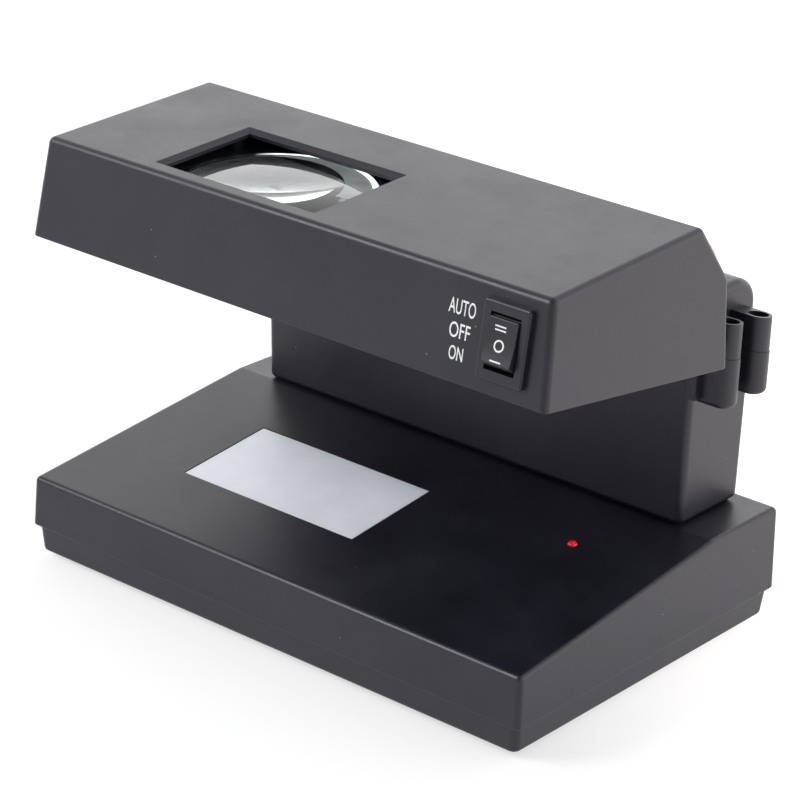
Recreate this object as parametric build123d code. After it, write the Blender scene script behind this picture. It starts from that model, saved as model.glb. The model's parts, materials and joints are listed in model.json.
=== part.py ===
from build123d import *
import math
import os

# Desktop counterfeit bill detector, millimetres.
# +Z is up, +X is the user's right, the user sits on the -Y side.
# The origin is on the surface the detector stands on, under the middle of its box.

# ---------------------------------------------------------------- driving dimensions
# base
BASE_W = 183.0          # width of the base at its parting line
BASE_D = 122.0          # depth of the base at its parting line
FOOT_PROUD = 2.0        # how far the rubber feet lift the tray
TRAY_TOP = 10.4         # height of the parting line between tray and top shell
FRONT_TOP = 25.9        # height of the front upper edge
FLAT_TOP = 35.9         # height of the flat behind the slope
CREASE_Y = 27.8         # where the slope meets the flat
BASE_DRAFT = 0.8        # how far the side walls lean in over their height
FRONT_DRAFT = 0.4       # the same for the front and rear walls
TRAY_STEP = 1.1         # the tray is this much smaller than the shell at the parting line
TRAY_INSET = 1.9        # and this much smaller at its bottom
WALL = 2.2              # wall of all the black mouldings
GAP = 0.15              # clearance between fitted mouldings

# column and neck
COL_HALF_BOT = 78.4     # half width of the column where it stands on the base
COL_HALF_TOP = 79.2     # half width of the column at the parting line
COL_FRONT_BOT = 28.4    # front face of the column at its foot
COL_FRONT_TOP = 26.5    # front face of the column at the parting line
COL_REAR_BOT = 57.6     # rear face at the foot
COL_REAR_TOP = 57.0     # rear face at the parting line
COL_CHAMFER = 3.2       # chamfer of its lower rear edge
NECK_TOP = 105.5        # height of the neck behind the head
NECK_ROUND = 8.4        # large round of the neck's upper rear edge

# head
HEAD_HALF_BOT = 92.6    # half width of the head at its lower rim
HEAD_HALF_TOP = 90.1    # half width at its top
HEAD_FRONT = -59.8      # lower front edge
HEAD_FRONT_Z = 101.0    # height of the lower front edge
HEAD_TOP_FRONT = (-55.8, 130.3)
HEAD_TOP_REAR = (10.2, 133.3)
HEAD_CHAMFER_LOW = (22.5, 116.5)
RIM_SLOPE = 0.1265      # the lower rim and the parting line fall towards the rear
COVER_LIFT = 2.5        # the bottom cover sits this far above the rim
COVER_T = 2.0

# ears that screw the upper housing to the column
EAR_X = 86.0
EAR_Y = (32.8, 47.6)
EAR_R = 3.9
EAR_UP = 10.4
EAR_BOTTOM = 74.6
EAR_RECESS_R = 2.95
EAR_SEAT = 3.5          # floor of the screw recess above the seam

# magnifier
WIN_X = -23.7           # middle of the magnifier window, and of the diffuser below it
WIN_Y = -31.1
WIN_W = 55.3
WIN_D = 35.3
WIN_BEVEL = 1.75        # width of the bevel round the window
WIN_BEVEL_DEPTH = 1.2
LENS_R = 29.5
LENS_Y = -34.0
LENS_DEPTH = 5.5        # upper edge of the lens rim below the outer surface
LENS_EDGE = 2.0
LENS_CURVE = 155.0      # radius of both lens faces
LENS_CHORD = 18.6       # the lens is cut flat this far in front of its centre

# diffuser and indicator
PANEL_X = -24.35
PANEL_Y = -14.9
PANEL_W = 65.1
PANEL_L = 34.8
LED_X = 59.7
LED_Y = 2.9

# rocker switch, a 21 x 15 snap-in type
SW_X = 77.7
SW_UP = 14.9            # middle of the switch above the head's lower edge, along the face
BEZEL = (15.0, 21.2, 1.8)
SW_BODY = (12.9, 19.0)
SW_OPEN = (9.8, 15.4)
SW_DEPTH = 15.5
PIVOT_V = -2.0          # rocker axis, behind the face of the head
ROCKER_REST = -7.0      # tilt of the key as modelled, with its upper end pressed in
ROCKER_R = 7.5
ROCKER_FACE_V = 3.3
ROCKER_W = 9.2
ROCKER_HALF = 6.15      # half the height of the key's face
ROCKER_HOLLOW = 0.4     # depth of the hollow in its face
ROCKER_HOLLOW_R = 40.0
TRUNNION_HALF = 5.6     # half the length of the rocker's axis pins

# ultraviolet tube
TUBE_Y = 6.0
TUBE_Z = 103.4
TUBE_R = 7.75
TUBE_L = 134.5

# magnetic head in the rear bevel of the head
MAG_X = 82.4
MAG_DOWN = 0.57         # its place down the bevel, as a fraction of the bevel
MAG_SIZE = (12.0, 6.6)
MAG_PROUD = 2.1
MAG_BARREL_R = 4.6
MAG_BOSS_X = -11.5      # screw boss beside it, in its own frame

# inside the base
SHEET = 1.6             # thickness of every circuit board
BOARD_Z = 9.0           # underside of the boards in the base
BOARD_TOP = BOARD_Z + SHEET
BOARD_X = (14.0, 74.0)
BOARD_Y = (8.0, 50.0)
BUZZER_AT = (68.0, 28.0)
LIGHT_X = (-57.6, 10.5)
LIGHT_Y = (-34.6, 2.8)
INLET_X = -58.0
INLET_Z = 20.4
INLET_FACE = 62.42      # outer face of the inlet flange, as far back as the switch key stands forward
INLET_FLANGE = (32.0, 16.4)
INLET_BODY = (28.8, 14.8)
INLET_SOCKET = (18.6, 9.6)
INLET_PITCH = 8.6       # between the two pins
WIRE_HOLE = (-14.0, 14.0, 38.0, 48.0)

# inside the column
BALLAST_Y = 46.0        # front face of the ballast board
BALLAST_HALF = 50.0
GUIDE_X = 47.0          # ribs that hold the board's lower corners

# inside the head
HOLDER_DROP = 7.4       # lens holder's plate below the head's upper surface
VIEW = (-54.0, 6.5, -49.0, -12.0)
SLOT = (-67.45, 67.45, -3.0, 15.5)
LAMP_HOLDER_X = 67.6
TUBE_PIN_Z = 2.5        # half the distance between the two pins of a tube end
REFLECTOR_R = 10.6
CAVITY = (10.2, 16.6)   # hollow of the switch body
CONTACT_V = PIVOT_V - 10.2
CONTACT_AXIS_V = CONTACT_V - 0.2
CONTACT_REST = -ROCKER_REST / 2
PLUNGER_TIP = 8.6       # middle of the plunger's round tip below the key's axis
RIDGE_R = 0.35          # ridge on which the contact rocker tips
TERMINALS = (-6.3, 0, 6.3)

# fasteners
SHANK_R = 1.4
PILOT_R = 1.45
HOLE_R = 1.7
SCREW_HEAD_R = 2.75
SCREW_HEAD_H = 1.8
BASE_SCREWS = [(sx * 80.0, y) for sx in (-1, 1) for y in (-51.0, 51.0)]
COLUMN_SCREWS = [(sx * 62.0, y) for sx in (-1, 1) for y in (34.0, 52.0)]
FOOT_PLACES = [(sx * 70.0, y) for sx in (-1, 1) for y in (-45.0, 45.0)]
BOARD_POSTS = [(x, y) for x in (18.5, 69.5) for y in (12.5, 45.5)]
LIGHT_POSTS = [(x, -15.9) for x in (-63.5, 16.4)]
HEAD_POSTS = [(-72.0, -50.0), (62.0, -50.0), (-84.0, 10.0), (84.0, 0.0)]
HOLDER_POSTS = [(WIN_X + sx * 34.5, y) for sx in (-1, 1) for y in (-44.0, -12.0)]

# rounds
EDGE_ROUND = 2.0        # outer edges of the head
BASE_ROUND = 1.6        # outer edges of the base
RIM_ROUND = 0.45        # free lower rims of the mouldings
SEAM = 0.35             # half the groove at the seam between neck and column

os.makedirs("parts", exist_ok=True)


# ---------------------------------------------------------------- helpers
def slab(x0, x1, y0, y1, z0, z1):
    """Box given by its two corners."""
    box = Box(x1 - x0, y1 - y0, z1 - z0)
    return Pos((x0 + x1) / 2, (y0 + y1) / 2, (z0 + z1) / 2) * box


def prism_x(points, x0, x1):
    """Solid with the outline points, given as (y, z), between two X planes."""
    face = make_face(Polyline(*points, close=True))
    return extrude(Plane.YZ.offset(x0) * face, amount=x1 - x0)


def prism_y(points, y0, y1):
    """Solid with the outline points, given as (x, z), between two Y planes."""
    face = make_face(Polyline(*points, close=True))
    return extrude(Plane.XZ.offset(-y1) * face, amount=y1 - y0)


def rod(x, y, z0, z1, radius):
    """Vertical round rod."""
    return Pos(x, y, (z0 + z1) / 2) * Cylinder(radius, z1 - z0)


def rod_x(x0, x1, y, z, radius):
    """Round rod along X."""
    return Pos((x0 + x1) / 2, y, z) * Rot(0, 90, 0) * Cylinder(radius, x1 - x0)


def inset(points, walls):
    """Move each side of a closed outline inwards by its own wall; points run anticlockwise."""
    count = len(points)
    lines = []
    for i in range(count):
        (ax, ay), (bx, by) = points[i], points[(i + 1) % count]
        length = math.hypot(bx - ax, by - ay)
        nx, ny = -(by - ay) / length, (bx - ax) / length
        lines.append((nx, ny, nx * ax + ny * ay + walls[i]))
    result = []
    for i in range(count):
        a, b, c = lines[i - 1]
        d, e, f = lines[i]
        det = a * e - b * d
        result.append(((c * e - b * f) / det, (a * f - c * d) / det))
    return result


def rim_z(y):
    """Height of the sloping parting line at a depth y."""
    return HEAD_FRONT_Z - RIM_SLOPE * (y - HEAD_FRONT)


def top_z(y):
    """Height of the head's upper surface at a depth y."""
    (y0, z0), (y1, z1) = HEAD_TOP_FRONT, HEAD_TOP_REAR
    return z0 + (z1 - z0) * (y - y0) / (y1 - y0)


def slope_z(y):
    """Height of the base's sloping surface at a depth y."""
    y0 = -BASE_D / 2 + FRONT_DRAFT
    return FRONT_TOP + (FLAT_TOP - FRONT_TOP) * (y - y0) / (CREASE_Y - y0)


def screw(length):
    """Pan-head screw pointing down, the underside of its head at the origin."""
    head = Cylinder(SCREW_HEAD_R, SCREW_HEAD_H, align=(Align.CENTER, Align.CENTER, Align.MIN))
    head = fillet(head.edges().filter_by(GeomType.CIRCLE).group_by(Axis.Z)[-1], 0.9)
    shank = Cylinder(SHANK_R, length, align=(Align.CENTER, Align.CENTER, Align.MAX))
    slot_a = Pos(0, 0, SCREW_HEAD_H) * Box(2.8, 0.7, 1.6)
    slot_b = Pos(0, 0, SCREW_HEAD_H) * Box(0.7, 2.8, 1.6)
    return head + shank - slot_a - slot_b


def save(shape, name):
    """Write one node; several solids stay separate inside it."""
    if isinstance(shape, (list, tuple)):
        shape = Compound(children=list(shape))
    export_step(shape, f"parts/{name}.step")


# ---------------------------------------------------------------- frames
slope_angle = math.degrees(math.atan2(FLAT_TOP - FRONT_TOP, CREASE_Y + BASE_D / 2 - FRONT_DRAFT))
SLOPE = Plane(origin=(PANEL_X, PANEL_Y, slope_z(PANEL_Y))).rotated((slope_angle, 0, 0))
LED_FRAME = Plane(origin=(LED_X, LED_Y, slope_z(LED_Y))).rotated((slope_angle, 0, 0))

rim_angle = math.degrees(math.atan(RIM_SLOPE))


def rim_frame(x, y, lift):
    """Frame square to the rim plane, on the axis through (x, y) in that plane."""
    along = lift * math.cos(math.radians(rim_angle))
    lean = math.radians(rim_angle)
    origin = (x, y + along * math.sin(lean), rim_z(y) + along * math.cos(lean))
    return Plane(origin=origin).rotated((-rim_angle, 0, 0))


top_rise = HEAD_TOP_REAR[1] - HEAD_TOP_FRONT[1]
top_angle = math.degrees(math.atan2(top_rise, HEAD_TOP_REAR[0] - HEAD_TOP_FRONT[0]))


def top_frame(x, y):
    """Frame on the head's upper surface, square to it."""
    return Plane(origin=(x, y, top_z(y))).rotated((top_angle, 0, 0))


WINDOW = top_frame(WIN_X, WIN_Y)
LENS = top_frame(WIN_X, LENS_Y)

face_lean = math.degrees(math.atan2(HEAD_TOP_FRONT[0] - HEAD_FRONT, HEAD_TOP_FRONT[1] - HEAD_FRONT_Z))
sw_y = HEAD_FRONT + SW_UP * math.sin(math.radians(face_lean))
sw_z = HEAD_FRONT_Z + SW_UP * math.cos(math.radians(face_lean))
# in the switch frame x runs to the right, y up the face and z out of it
SWITCH = Plane(origin=(SW_X, sw_y, sw_z)).rotated((90 - face_lean, 0, 0))
# the same frame turned with the key about its axis, and with the contact rocker about its ridge
KEY = SWITCH * Pos(0, 0, PIVOT_V) * Rot(ROCKER_REST, 0, 0) * Pos(0, 0, -PIVOT_V)
CONTACT = SWITCH * Pos(0, 0, CONTACT_AXIS_V) * Rot(CONTACT_REST, 0, 0) * Pos(0, 0, -CONTACT_AXIS_V)

chamfer_dy = HEAD_CHAMFER_LOW[0] - HEAD_TOP_REAR[0]
chamfer_dz = HEAD_CHAMFER_LOW[1] - HEAD_TOP_REAR[1]
chamfer_angle = math.degrees(math.atan2(chamfer_dz, chamfer_dy))
mag_y = HEAD_TOP_REAR[0] + MAG_DOWN * chamfer_dy
mag_z = HEAD_TOP_REAR[1] + MAG_DOWN * chamfer_dz
MAG_FRAME = Plane(origin=(MAG_X, mag_y, mag_z)).rotated((chamfer_angle, 0, 0))


# ---------------------------------------------------------------- base
def base_block(wall, floor):
    """The wedge of the base, shrunk by a wall, its bottom moved down to a floor."""
    y_bot = BASE_D / 2
    y_top = BASE_D / 2 - FRONT_DRAFT
    outline = [
        (-y_bot, TRAY_TOP), (y_bot, TRAY_TOP), (y_top, FLAT_TOP),
        (CREASE_Y, FLAT_TOP), (-y_top, FRONT_TOP),
    ]
    outline = inset(outline, [floor, wall, wall, wall, wall])
    half = BASE_W / 2
    narrow = half - BASE_DRAFT
    ends = [(-half, TRAY_TOP), (half, TRAY_TOP), (narrow, FLAT_TOP), (-narrow, FLAT_TOP)]
    ends = inset(ends, [floor - 1, wall, -1, wall])
    return prism_x(outline, -half, half) & prism_y(ends, -BASE_D, BASE_D)


def make_base_top_shell():
    outer = base_block(0, 0)
    upper = outer.edges().filter_by(lambda e: e.center().Z > TRAY_TOP + 0.5)
    crease = upper.filter_by(lambda e: abs(e.center().Y - CREASE_Y) < 0.1 and e.length > 100)
    outer = fillet(crease, 6)
    upper = outer.edges().filter_by(lambda e: e.center().Z > TRAY_TOP + 0.5)
    outside = upper.filter_by(lambda e: not (e.length > 150 and abs(e.center().Y - CREASE_Y) < 2))
    outer = fillet(outside, BASE_ROUND)
    outer = fillet(outer.edges().group_by(Axis.Z)[0], RIM_ROUND)
    shell = outer - base_block(WALL, -1)
    for x, y in BASE_SCREWS:
        boss = rod(x, y, TRAY_TOP + 1.0, slope_z(min(y, CREASE_Y)) - 1.0, 3.4)
        shell = shell + boss
        shell = shell - rod(x, y, TRAY_TOP, TRAY_TOP + 11, PILOT_R)
    window = SLOPE * Box(PANEL_W + 0.3, PANEL_L + 0.3, 12)
    shell = shell - window
    shell = shell - LED_FRAME * Cylinder(1.55, 12)
    shell = shell - slab(*WIRE_HOLE, FLAT_TOP - 6, FLAT_TOP + 1)
    for x, y in COLUMN_SCREWS:
        shell = shell - rod(x, y, FLAT_TOP - 6, FLAT_TOP + 1, HOLE_R)
    half_w, half_h = INLET_BODY[0] / 2 + 0.2, INLET_BODY[1] / 2 + 0.2
    return shell - slab(INLET_X - half_w, INLET_X + half_w, 50, 65, INLET_Z - half_h, INLET_Z + half_h)


def tray_block(top_half, low_half, top_y, low_y, z0, z1):
    lower = Pos(0, 0, z0) * Rectangle(2 * low_half, 2 * low_y)
    upper = Pos(0, 0, z1) * Rectangle(2 * top_half, 2 * top_y)
    return loft([lower, upper], ruled=True)


def make_base_bottom_tray():
    top_half = BASE_W / 2 - TRAY_STEP
    low_half = BASE_W / 2 - TRAY_INSET
    top_y = BASE_D / 2 - TRAY_STEP
    low_y = BASE_D / 2 - TRAY_INSET
    outer = tray_block(top_half, low_half, top_y, low_y, FOOT_PROUD, TRAY_TOP)
    corners = outer.edges().filter_by(lambda e: 5 < e.length < 12)
    outer = fillet(corners, 2.5)
    outer = fillet(outer.edges().group_by(Axis.Z)[0], 1.2)
    wide, deep = top_half - WALL, top_y - WALL
    tray = outer - tray_block(wide, low_half - WALL, deep, low_y - WALL, FOOT_PROUD + 2, TRAY_TOP + 0.01)
    tongue_half = BASE_W / 2 - WALL - GAP - 0.1
    tongue_y = BASE_D / 2 - WALL - GAP - 0.1
    tongue = slab(-tongue_half, tongue_half, -tongue_y, tongue_y, TRAY_TOP - 1.5, TRAY_TOP + 2)
    tongue = tongue - slab(-tongue_half + 1.4, tongue_half - 1.4, -tongue_y + 1.4, tongue_y - 1.4, 0, 20)
    tongue = tongue - slab(INLET_X - 15.5, INLET_X + 15.5, 50, 65, TRAY_TOP, 20)
    tray = tray + tongue
    for x, y in BASE_SCREWS:
        tray = tray + rod(x, y, FOOT_PROUD + 1, TRAY_TOP + 0.8, 4.6)
        tray = tray - rod(x, y, FOOT_PROUD - 1, FOOT_PROUD + 4.6, 3.2)
        tray = tray - rod(x, y, 0, TRAY_TOP + 2, HOLE_R)
    for x, y in FOOT_PLACES:
        tray = tray + rod(x, y, FOOT_PROUD + 1.5, FOOT_PROUD + 3, 7.0)
        tray = tray - rod(x, y, 0, FOOT_PROUD + 1, 5.6)
    for x, y in BOARD_POSTS + LIGHT_POSTS:
        tray = tray + rod(x, y, FOOT_PROUD + 1.5, BOARD_Z, 2.9)
        tray = tray - rod(x, y, FOOT_PROUD + 3, BOARD_Z + 1, PILOT_R)
    for i in range(7):
        x = 25 + 7 * i
        tray = tray - slab(x, x + 2.4, -30, -8, 0, 8)
    return tray


def make_rubber_feet():
    feet = []
    for x, y in FOOT_PLACES:
        foot = rod(x, y, 0, FOOT_PROUD + 1, 5.5)
        rim = foot.edges().filter_by(GeomType.CIRCLE).group_by(Axis.Z)[0]
        feet.append(fillet(rim, 0.6))
    return feet


def make_base_screws():
    length = 11.0
    return [Pos(x, y, FOOT_PROUD + 4.6) * Rot(180, 0, 0) * screw(length) for x, y in BASE_SCREWS]


def make_control_board():
    board = slab(BOARD_X[0], BOARD_X[1], BOARD_Y[0], BOARD_Y[1], BOARD_Z, BOARD_TOP)
    for x, y in BOARD_POSTS:
        board = board - rod(x, y, 0, 20, HOLE_R)
    return board


def make_power_transformer():
    """Core with two windows, and the winding round its middle limb."""
    base = BOARD_TOP
    core = slab(37.5, 61.5, 27.5, 40.5, base, base + 16)
    for x in (44.3, 54.7):
        core = core - slab(x - 2.6, x + 2.6, 27, 41, base + 4, base + 12)
    winding = slab(41.9, 57.1, 24.5, 43.5, base + 4.1, base + 11.9)
    winding = fillet(winding.edges().filter_by(Axis.Z), 1.5)
    return core, winding - slab(46.7, 52.3, 27.3, 40.7, base, base + 20)


def make_board_parts():
    base = BOARD_TOP
    parts = []
    for x, y, r, h in ((24, 38, 4.0, 12.0), (33, 40, 3.15, 11.0), (25, 25, 2.5, 9.0)):
        can = rod(x, y, base, base + h, r)
        parts.append(fillet(can.edges().filter_by(GeomType.CIRCLE).group_by(Axis.Z)[-1], 0.5))
    for x, y, w, d, h in ((42, 16, 10, 6.5, 3.2), (57, 17, 9, 5, 4), (34, 30, 6, 4, 2), (31, 16, 4, 6, 7)):
        block = slab(x - w / 2, x + w / 2, y - d / 2, y + d / 2, base, base + h)
        parts.append(chamfer(block.edges().group_by(Axis.Z)[-1], 0.4))
    return parts


def make_buzzer():
    base = BOARD_TOP
    can = rod(BUZZER_AT[0], BUZZER_AT[1], base, base + 9.5, 5.8)
    can = fillet(can.edges().filter_by(GeomType.CIRCLE).group_by(Axis.Z)[-1], 0.8)
    return can - rod(BUZZER_AT[0], BUZZER_AT[1], base + 7, base + 10, 1.0)


def make_board_screws():
    places = BOARD_POSTS + LIGHT_POSTS
    return [Pos(x, y, BOARD_TOP) * screw(5.5) for x, y in places]


def under_slope(depth, x0, x1, y0, y1, z0):
    """Block from z0 up to a plane this far below the sloping surface."""
    drop = depth / math.cos(math.radians(slope_angle))
    points = [(y0, z0), (y1, z0), (y1, slope_z(y1) - drop), (y0, slope_z(y0) - drop)]
    return prism_x(points, x0, x1)


def make_watermark_diffuser():
    plate = Pos(0, 0, -1.4) * Box(PANEL_W - 0.1, PANEL_L - 0.1, 2.6)
    plate = fillet(plate.edges().group_by(Axis.Z)[-1], 0.25)
    flange = Pos(0, 0, -WALL - 0.85) * Box(PANEL_W + 3.4, PANEL_L + 3.0, 1.2)
    return SLOPE * (plate + flange)


def make_light_box():
    x0, x1 = LIGHT_X
    y0, y1 = LIGHT_Y
    depth = WALL + 1.5
    low = BOARD_TOP
    box = under_slope(depth, x0, x1, y0, y1, low)
    box = box - under_slope(0, x0 + 1.3, x1 - 1.3, y0 + 1.3, y1 - 1.3, 0)
    return box


def make_led_board():
    x0, x1 = LIGHT_X
    y0, y1 = LIGHT_Y
    board = slab(x0, x1, y0, y1, BOARD_Z, BOARD_TOP)
    for x, y in LIGHT_POSTS:
        board = board + slab(min(x, WIN_X) - 4, max(x, WIN_X) + 4, y - 5, y + 5, BOARD_Z, BOARD_TOP)
    for x, y in LIGHT_POSTS:
        board = board - rod(x, y, 0, 20, HOLE_R)
    return board


def make_watermark_leds():
    base = BOARD_TOP
    leds = []
    for i in range(4):
        for j in range(2):
            x = LIGHT_X[0] + 10 + i * 16.0
            y = LIGHT_Y[0] + 10 + j * 17.4
            led = slab(x - 1.75, x + 1.75, y - 1.4, y + 1.4, base, base + 1.9)
            leds.append(chamfer(led.edges().group_by(Axis.Z)[-1], 0.25))
    return leds


def make_indicator_led():
    body = Pos(0, 0, -2.2) * Cylinder(1.5, 4.4)
    dome = Pos(0, 0, 0) * Sphere(1.5)
    collar = Pos(0, 0, -4.0) * Cylinder(1.9, 1.0)
    return LED_FRAME * Pos(0, 0, -0.6) * (body + dome + collar)


def make_led_holder():
    """Small clip that hangs the indicator under the slope."""
    ring = Pos(0, 0, -3.9) * Cylinder(3.6, 2.8)
    ring = ring - Pos(0, 0, -3.9) * Cylinder(1.6, 4) - Pos(0, 0, -4.85) * Cylinder(2.0, 1.7)
    return LED_FRAME * ring


# mains inlet, a two-pole figure-eight socket pushed into the rear wall
def make_power_inlet():
    half_w, half_h = INLET_FLANGE[0] / 2, INLET_FLANGE[1] / 2
    low = INLET_Z - half_h
    rear = BASE_D / 2 - FRONT_DRAFT * (low - TRAY_TOP) / (FLAT_TOP - TRAY_TOP) + 0.02
    flange = slab(INLET_X - half_w, INLET_X + half_w, rear, INLET_FACE, low, INLET_Z + half_h)
    flange = fillet(flange.edges().filter_by(Axis.Y), 2.0)
    flange = fillet(flange.edges().group_by(Axis.Y)[-1], 0.5)
    half_w, half_h = INLET_BODY[0] / 2, INLET_BODY[1] / 2
    body = slab(INLET_X - half_w, INLET_X + half_w, 42.0, rear + 0.1, INLET_Z - half_h, INLET_Z + half_h)
    body = fillet(body.edges().filter_by(Axis.Y), 1.2)
    frame = Plane(origin=(INLET_X, INLET_FACE + 1, INLET_Z), x_dir=(1, 0, 0), z_dir=(0, -1, 0))
    inlet = flange + body - extrude(frame * SlotOverall(*INLET_SOCKET), amount=17)
    for side in (-1, 1):
        x = INLET_X + side * INLET_PITCH / 2
        inlet = inlet - Pos(x, 44, INLET_Z) * Rot(90, 0, 0) * Cylinder(1.22, 10)
    return inlet


def make_inlet_pins():
    pins = []
    for side in (-1, 1):
        x = INLET_X + side * INLET_PITCH / 2
        y0, y1 = 37.0, BASE_D / 2 - 4
        pin = Pos(x, (y0 + y1) / 2, INLET_Z) * Rot(90, 0, 0) * Cylinder(1.2, y1 - y0)
        pins.append(fillet(pin.edges().filter_by(GeomType.CIRCLE).group_by(Axis.Y)[-1], 0.6))
    return pins


# ---------------------------------------------------------------- column
def column_block(wall, floor):
    low = Plane.XY.offset(FLAT_TOP + floor)
    high = Plane.XY.offset(rim_z(0) + 10)
    rise = (rim_z(0) + 10 - FLAT_TOP) / (rim_z(42) - FLAT_TOP)
    half_hi = COL_HALF_BOT + (COL_HALF_TOP - COL_HALF_BOT) * rise - wall
    y0_hi = COL_FRONT_BOT + (COL_FRONT_TOP - COL_FRONT_BOT) * rise + wall
    y1_hi = COL_REAR_BOT + (COL_REAR_TOP - COL_REAR_BOT) * rise - wall
    y0, y1 = COL_FRONT_BOT + wall, COL_REAR_BOT - wall
    lower = low * Pos(0, (y0 + y1) / 2) * Rectangle(2 * (COL_HALF_BOT - wall), y1 - y0)
    upper = high * Pos(0, (y0_hi + y1_hi) / 2) * Rectangle(2 * half_hi, y1_hi - y0_hi)
    return loft([lower, upper], ruled=True)


def above_rim(offset=0.0):
    """Everything above a plane parallel to the parting plane."""
    y0, y1 = -100, 100
    points = [(y0, rim_z(y0) + offset), (y1, rim_z(y1) + offset), (y1, 260), (y0, 260)]
    return prism_x(points, -120, 120)


def below_rim(offset=0.0):
    """Everything below a plane parallel to the parting plane."""
    y0, y1 = -100, 100
    points = [(y0, 20), (y1, 20), (y1, rim_z(y1) + offset), (y0, rim_z(y0) + offset)]
    return prism_x(points, -120, 120)


def ear(side, y, radius, z0, z1):
    """Flat-sided lug with a round end, standing out from the column's side."""
    length = EAR_X - (COL_HALF_TOP - 3)
    lug = Pos(side * (EAR_X - length / 2), y, (z0 + z1) / 2) * Box(length, 2 * radius, z1 - z0)
    return lug + rod(side * EAR_X, y, z0, z1, radius)


def make_column():
    outer = column_block(0, 0)
    sides = outer.edges().filter_by(lambda e: abs(e.tangent_at(0.5).Z) > 0.9)
    outer = fillet(sides, 2.2)
    outer = fillet(outer.edges().group_by(Axis.Z)[0], 2.1)
    low, reach = FLAT_TOP - 1, COL_CHAMFER + 1
    corner = [(COL_REAR_BOT - reach, low), (COL_REAR_BOT + 1, low), (COL_REAR_BOT + 1, low + reach + 1)]
    outer = outer - prism_x(corner, -BASE_W / 2, BASE_W / 2)
    for side in (-1, 1):
        for y in EAR_Y:
            lug = ear(side, y, EAR_R + 0.15, EAR_BOTTOM, 100)
            low = lug.edges().group_by(Axis.Z)[0]
            outer = outer + fillet(low, 1.6)
        pad_x = side * (COL_HALF_TOP + 0.3)
        outer = outer + slab(pad_x - 1.6, pad_x + 1.6, EAR_Y[0] - 6.4, EAR_Y[0], EAR_BOTTOM + 1.5, 100)
    shell = outer & below_rim()
    shell = shell - column_block(WALL, WALL + 0.2)
    for x, y in COLUMN_SCREWS:
        shell = shell + rod(x, y, FLAT_TOP + 1, FLAT_TOP + 10, 3.4)
        shell = shell - rod(x, y, FLAT_TOP - 1, FLAT_TOP + 8.5, PILOT_R)
    shell = shell - slab(*WIRE_HOLE, FLAT_TOP - 1, FLAT_TOP + 4)
    for side in (-1, 1):
        for y in EAR_Y:
            shell = shell - rod(side * EAR_X, y, rim_z(y) - 12, rim_z(y) + 2, PILOT_R)
        shell = shell + board_guide(side * GUIDE_X)
    return shell


def board_guide(x):
    """Rib on the column's floor with a slot for the edge of the ballast board."""
    rib = slab(x - 2.5, x + 2.5, BALLAST_Y - 3, BALLAST_Y + 6, FLAT_TOP + 1, FLAT_TOP + 9)
    front, rear = BALLAST_Y - GAP, BALLAST_Y + SHEET + GAP
    return rib - slab(x - 3, x + 3, front, rear, FLAT_TOP + 4, FLAT_TOP + 10)


def make_column_screws():
    return [Pos(x, y, FLAT_TOP - WALL) * Rot(180, 0, 0) * screw(9.5) for x, y in COLUMN_SCREWS]


def make_ballast_board():
    return slab(-BALLAST_HALF, BALLAST_HALF, BALLAST_Y, BALLAST_Y + SHEET, FLAT_TOP + 4.2, FLAT_TOP + 38)


def make_ballast_transformer():
    core = slab(12, 32, BALLAST_Y - 13, BALLAST_Y, FLAT_TOP + 12, FLAT_TOP + 30)
    return chamfer(core.edges().group_by(Axis.Y)[0], 1.2)


def make_ballast_parts():
    y1 = BALLAST_Y
    parts = []
    for x, z, r, h in ((-36, 24, 5.0, 12.5), (-20, 22, 4.0, 11.0), (42, 26, 3.2, 9.0)):
        can = Pos(x, y1 - h / 2, FLAT_TOP + z) * Rot(90, 0, 0) * Cylinder(r, h)
        parts.append(fillet(can.edges().filter_by(GeomType.CIRCLE).group_by(Axis.Y)[0], 0.6))
    for x, z, w, d, h in ((-4, 20, 9, 5, 14), (-30, 12, 10, 4, 6), (0, 33, 12, 4, 5)):
        block = slab(x - w / 2, x + w / 2, y1 - d, y1, FLAT_TOP + z - h / 2, FLAT_TOP + z + h / 2)
        parts.append(chamfer(block.edges().group_by(Axis.Y)[0], 0.4))
    return parts


# ---------------------------------------------------------------- upper housing: head and neck
def head_block(wall, lift):
    """The five-sided head, shrunk by a wall, its open underside moved by lift."""
    rear = HEAD_CHAMFER_LOW[0]
    outline = [
        (HEAD_FRONT, HEAD_FRONT_Z), (rear, rim_z(rear)), HEAD_CHAMFER_LOW, HEAD_TOP_REAR, HEAD_TOP_FRONT,
    ]
    outline = inset(outline, [lift, wall, wall, wall, wall])
    low, high = rim_z(rear), HEAD_TOP_REAR[1]
    lean = (HEAD_HALF_BOT - HEAD_HALF_TOP) / (high - HEAD_FRONT_Z)
    half_low = HEAD_HALF_BOT + lean * (HEAD_FRONT_Z - low) - wall
    half_high = HEAD_HALF_TOP - wall
    ends = [(-half_low, low), (half_low, low), (half_high, high), (-half_high, high)]
    ends = inset(ends, [-12, 0, -1, 0])
    return prism_x(outline, -110, 110) & prism_y(ends, -100, 100)


def neck_block(wall, front):
    """The narrower housing behind the head, with its large upper rear round."""
    rear = COL_REAR_TOP - wall
    top = NECK_TOP - wall
    radius = NECK_ROUND - wall
    half = COL_HALF_TOP - wall
    line = Polyline((rear, top - radius), (rear, 70), (front, 70), (front, top), (rear - radius, top))
    arc = CenterArc((rear - radius, top - radius), radius, 0, 90)
    face = make_face(line + arc)
    return extrude(Plane.YZ.offset(-half) * face, amount=2 * half)


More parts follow.
